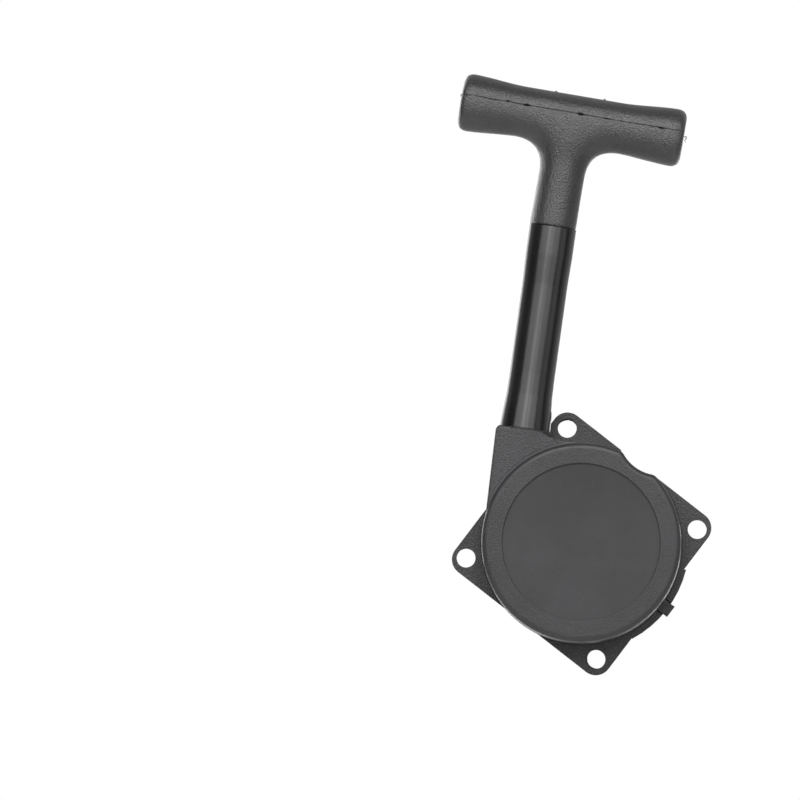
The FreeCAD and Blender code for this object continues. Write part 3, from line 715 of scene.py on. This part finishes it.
def build_hole_flash(material):
    mesh = bmesh.new()
    for turn, towards, spread, width in CRESCENTS:
        add_crescent(mesh, math.radians(turn), math.radians(towards), math.radians(spread), width)
    bmesh.ops.recalc_face_normals(mesh, faces=mesh.faces[:])
    finish_piece("hole_flash", baked(mesh, "hole_flash"), [material], "case")


# The rope: eight flattened yarns braided over a dark core. A yarn's sizes are shares of the rope's radius
# or of the yarn's.

YARNS_EACH_WAY = 4
YARN_SHARE = 0.36
YARN_THICK = 0.62
YARN_WIDE = 1.25
YARN_WEAVE = 0.18
CORE_SHARE = 0.6
CORE_SIDES = 8
BRAID_PITCH = 7.0 * MM
LEAD_STEPS = 400
LEAD_BELOW = 8 * MM
LEAD_SIDES = 5
WOUND_TURNS = 3.0
WOUND_STEPS = 720
WOUND_SIDES = 4
WOUND_STEP = 2.375 * MM
KNOT_STEPS = 90
KNOT_SIDES = 6
KNOT_START = 243
KNOT_SWEEP = 54
KNOT_REACH = 17.85 * MM
KNOT_REACH_WAVE = 0.15 * MM
KNOT_REACH_TURN = 9.0
KNOT_DEPTH_WAVE = 0.3 * MM
KNOT_DEPTH_TURN = 12.0
KNOT_RADIUS = 1.55 * MM
KNOT_PITCH = 6.5 * MM
KNOT_CORE = 1.0 * MM


def lengths_along(points):
    lengths = [0.0]
    for first, second in zip(points, points[1:]):
        lengths.append(lengths[-1] + (second - first).length)
    return lengths


def yarn_route(spine, radius, pitch, way, number):
    """One yarn's centres and outward directions, as it winds round the rope and passes over and under."""
    yarn = radius * YARN_SHARE
    route = []
    for point, length, (side, other) in spine:
        wind = 2 * math.pi * length / pitch
        turn = way * wind + 2 * math.pi * (number + 0.25 * (way + 1)) / YARNS_EACH_WAY
        wave = way * math.cos(YARNS_EACH_WAY * wind + math.pi * number)
        out = side * math.cos(turn) + other * math.sin(turn)
        route.append((point + out * (radius - yarn + YARN_WEAVE * yarn * wave), out))
    return route


def add_yarn(vertices, faces, route, yarn, sides):
    """A flattened tube along a yarn's route, closed at both ends."""
    start = len(vertices)
    last = len(route) - 1
    for index, (centre, out) in enumerate(route):
        along = (route[min(index + 1, last)][0] - route[max(index - 1, 0)][0]).normalized()
        flat = along.cross(out).normalized()
        for k in range(sides):
            turn = 2 * math.pi * k / sides
            vertices.append(centre + out * (YARN_THICK * yarn * math.cos(turn))
                            + flat * (YARN_WIDE * yarn * math.sin(turn)))
    for index in range(last):
        low = start + index * sides
        high = low + sides
        for k in range(sides):
            after = (k + 1) % sides
            faces.append((low + k, low + after, high + after, high + k))
    faces.append(tuple(start + k for k in reversed(range(sides))))
    faces.append(tuple(start + last * sides + k for k in range(sides)))


def braid(path, radius, pitch, sides):
    """Vertices and faces of yarns that wind both ways round a path, and the tone of each face."""
    spine = list(zip(path, lengths_along(path), sides_along(path)))
    vertices = []
    faces = []
    tones = []
    for way in (1, -1):
        for number in range(YARNS_EACH_WAY):
            route = yarn_route(spine, radius, pitch, way, number)
            add_yarn(vertices, faces, route, radius * YARN_SHARE, sides)
            tone = (number + (way + 1) // 2) % 2
            tones.extend([tone] * sides * (len(path) - 1) + [0, 0])
    return vertices, faces, tones


def rope_piece(name, path, radius, pitch, yarns, body, sides):
    """Braided yarns along a path, in the two materials of yarns."""
    vertices, faces, tones = braid(path, radius, pitch, sides)
    data = bpy.data.meshes.new(name)
    data.from_pydata([tuple(vertex) for vertex in vertices], [], faces)
    thing = finish_piece(name, data, yarns, body)
    for face, tone in zip(data.polygons, tones):
        face.material_index = tone
    return thing


def rope_core(name, path, radius, yarns, body):
    mesh = bmesh.new()
    add_tube(mesh, path, [radius] * len(path), CORE_SIDES)
    return finish_piece(name, baked(mesh, name), yarns[:1], body)


def build_lead(yarns):
    """The straight rope up the tube, which stretches between the case and the handle."""
    bottom = LEAD_LOW.z - LEAD_BELOW
    span = LEAD_HIGH.z - bottom
    path = [Vector((ROPE_X, ROPE_Y, bottom + span * k / LEAD_STEPS)) for k in range(LEAD_STEPS + 1)]
    lead = rope_piece("rope_lead_braid", path, ROPE_RADIUS, BRAID_PITCH, yarns, None, LEAD_SIDES)
    core = rope_core("rope_lead_core", path, ROPE_RADIUS * CORE_SHARE, yarns, None)
    for piece in (lead, core):
        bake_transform(piece)
    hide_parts("rope_lead")


def build_turns(yarns):
    """The rope wound on the reel, side by side in its groove."""
    path = []
    for k in range(WOUND_STEPS + 1):
        share = k / WOUND_STEPS
        turn = math.pi - 2 * math.pi * WOUND_TURNS * share
        depth = ROPE_Y + WOUND_STEP * WOUND_TURNS * (share - 0.5)
        path.append(Vector((-ROPE_X * math.cos(turn), depth, -ROPE_X * math.sin(turn))))
    piece = rope_piece("rope_turns", path, ROPE_RADIUS, BRAID_PITCH, yarns, "reel", WOUND_SIDES)
    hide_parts("rope_wound")
    rope_core("rope_turns_core", path, ROPE_RADIUS * CORE_SHARE, yarns, "reel")


def build_knot(yarns):
    """The rope's thick end lies along the reel's slot."""
    low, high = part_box("reel_knot")
    middle = (low.y + high.y) / 2
    path = []
    for k in range(KNOT_STEPS + 1):
        share = k / KNOT_STEPS
        turn = math.radians(KNOT_START + KNOT_SWEEP * share)
        reach = KNOT_REACH + KNOT_REACH_WAVE * math.sin(share * KNOT_REACH_TURN)
        depth = middle + KNOT_DEPTH_WAVE * math.sin(share * KNOT_DEPTH_TURN)
        path.append(Vector((reach * math.cos(turn), depth, reach * math.sin(turn))))
    piece = rope_piece("reel_knot_braid", path, KNOT_RADIUS, KNOT_PITCH, yarns, "reel", KNOT_SIDES)
    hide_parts("reel_knot")
    rope_core("reel_knot_core", path, KNOT_CORE, yarns, "reel")


# The studio. Each softbox has its name, its degrees to the left of the front and up, and then its distance,
# width, height and radiance.

VIEW_WIDTH = 263.0 * MM
LENS = 300.0
SENSOR = 36.0
VIEW_END = 20.0
ROLL = math.radians(8.0)
CAMERA_PLACE = Vector((20 * MM, -VIEW_WIDTH * LENS / SENSOR, -44 * MM))
FRAME_CENTRE = Vector((-65.75 * MM, 0.0, 38.7 * MM))
LIGHT_TARGET = Vector((-20 * MM, -14 * MM, 50 * MM))
SOFTBOXES = (
    ("key", 18, 22, 1.4, 1.6, 1.2, 1.7),
    ("high_key", 10, 36, 1.4, 0.8, 0.6, 4.0),
    ("strip", 8, 20, 1.6, 0.35, 1.2, 1.7),
    ("front", -24, 18, 1.5, 1.0, 1.0, 1.6),
    ("high_right", -38, 40, 1.4, 0.7, 0.7, 1.3),
    ("right", -62, 10, 1.3, 0.6, 1.0, 0.5),
    ("back_key", 146, 8, 1.4, 1.2, 0.9, 3.0),
    ("back_low", 188, -3, 1.5, 1.0, 0.5, 2.0),
)
WHITE = (1, 1, 1, 1)
ROOM_FRONT = 0.03
ROOM_BACK = 0.62
ROOM_CHANGE = (-0.1, 0.55)
FLOOR_HALF = 0.5
FLOOR_DROP = 0.13
PAPER_GREYS = ((0.86, 0.86, 0.86), (0.9, 0.9, 0.9))
PAPER_SCALE = 30.0
PAPER_ROUGHNESS = 0.9


def add_camera():
    data = bpy.data.cameras.new("camera")
    data.lens = LENS
    data.sensor_width = SENSOR
    data.clip_end = VIEW_END
    camera = add_object("camera", data)
    camera.location = CAMERA_PLACE
    turn = (FRAME_CENTRE - CAMERA_PLACE).to_track_quat("-Z", "Y")
    camera.rotation_euler = (turn.to_matrix().to_4x4() @ Matrix.Rotation(ROLL, 4, "Z")).to_euler()
    bpy.context.scene.camera = camera


def add_softbox(name, left, up, distance, width, height, radiance):
    """A soft rectangular light turned towards the object."""
    left = math.radians(left)
    up = math.radians(up)
    away = Vector((-math.sin(left) * math.cos(up), -math.cos(left) * math.cos(up), math.sin(up)))
    data = bpy.data.lights.new(name, "AREA")
    data.shape = "RECTANGLE"
    data.size = width
    data.size_y = height
    data.energy = radiance * math.pi * width * height
    light = add_object(name, data)
    light.location = LIGHT_TARGET + away * distance
    light.rotation_euler = (-away).to_track_quat("-Z", "Y").to_euler()
    light.visible_camera = False


def add_world():
    """White where the camera looks past the object; otherwise a dim room with a bright wall behind it."""
    world = bpy.data.worlds.new("studio")
    bpy.context.scene.world = world
    world.use_nodes = True
    tree = world.node_tree
    direction = tree.nodes.new("ShaderNodeTexCoord").outputs["Generated"]
    depth = add_node(tree, "ShaderNodeSeparateXYZ", Vector=direction).outputs["Y"]
    room = tree.nodes["Background"]
    feed(tree, room.inputs["Strength"], remap(tree, depth, *ROOM_CHANGE, ROOM_FRONT, ROOM_BACK))
    feed(tree, room.inputs["Color"], WHITE)
    white = add_node(tree, "ShaderNodeBackground", Color=WHITE)
    seen = tree.nodes.new("ShaderNodeLightPath").outputs["Is Camera Ray"]
    mix = add_node(tree, "ShaderNodeMixShader", Fac=seen)
    tree.links.new(room.outputs["Background"], mix.inputs[1])
    tree.links.new(white.outputs["Background"], mix.inputs[2])
    tree.links.new(mix.outputs["Shader"], tree.nodes["World Output"].inputs["Surface"])


def floor_paper():
    material, tree, shader = new_material("floor_paper")
    fibres = noise_value(tree, object_coordinates(tree), PAPER_SCALE, 3.0, 0.5)
    feed(tree, shader.inputs["Base Color"], mix_colour(tree, fibres, *PAPER_GREYS))
    feed(tree, shader.inputs["Roughness"], PAPER_ROUGHNESS)
    return material


def add_floor():
    level = HOUSING_LOW.z - FLOOR_DROP
    corners = [(x * FLOOR_HALF, y * FLOOR_HALF, level) for x, y in ((-1, -1), (1, -1), (1, 1), (-1, 1))]
    mesh = bpy.data.meshes.new("floor")
    mesh.from_pydata(corners, [], [range(4)])
    mesh.materials.append(floor_paper())
    floor = add_object("floor", mesh)


def set_view():
    view = bpy.context.scene.view_settings
    view.view_transform = "Standard"
    view.look = "None"


NODE_FINISHES = {
    "guide_tube": tube_plastic,
    "retainer_plate": plate_plastic,
    "reel": reel_plastic,
    "drive_hub": hub_plastic,
    "hub_bush": bush_plastic,
    "recoil_spring": spring_steel,
    "spring_anchor": anchor_steel,
    "spring_hook": hook_steel,
    "handle_washer": washer_steel,
}


def main():
    case = case_plastic()
    paint("housing", case)
    for node, finish in NODE_FINISHES.items():
        paint(node, finish())
    yarns = [dark_yarn(), pale_yarn()]
    paint("handle_knot", yarns[1])
    build_hole_flash(case)
    build_handle(handle_plastic())
    build_lead(yarns)
    build_turns(yarns)
    build_knot(yarns)
    add_camera()
    for softbox in SOFTBOXES:
        add_softbox(*softbox)
    add_world()
    add_floor()
    set_view()


main()
